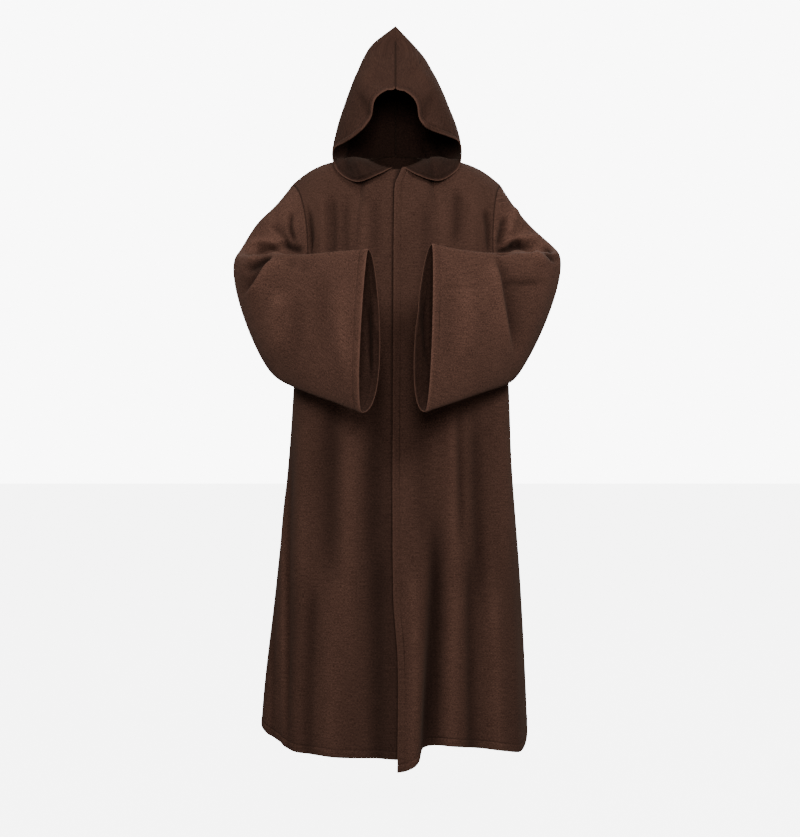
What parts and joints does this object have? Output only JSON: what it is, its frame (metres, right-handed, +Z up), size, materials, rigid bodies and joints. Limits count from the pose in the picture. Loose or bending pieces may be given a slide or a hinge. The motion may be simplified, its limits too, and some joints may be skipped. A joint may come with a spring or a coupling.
{
  "type": "hooded robe",
  "caption": "Long hooded robe of coarse woven cloth, hollow and in its worn pose, fronts lapped at the centre, wide bent sleeves and a pointed hood.",
  "frame": {"origin": "middle of the neck's base, between the shoulders, where the robe's weight is carried", "axes": "+Z up to the hood's peak, -Y to the front closing, +X to the robe's own left sleeve"},
  "size_m": [0.7991, 0.5412, 1.8129],
  "materials": {
    "body_cloth": "coarse plain weave, matt",
    "sleeve_cloth": "coarse plain weave, matt",
    "hood_cloth": "coarse plain weave, matt"
  },
  "bodies": {
    "root": {"front_right": "body_cloth", "front_left": "body_cloth", "back": "body_cloth", "sleeve_right": "sleeve_cloth", "sleeve_left": "sleeve_cloth", "hood_right": "hood_cloth", "hood_left": "hood_cloth"}
  },
  "joints": []
}
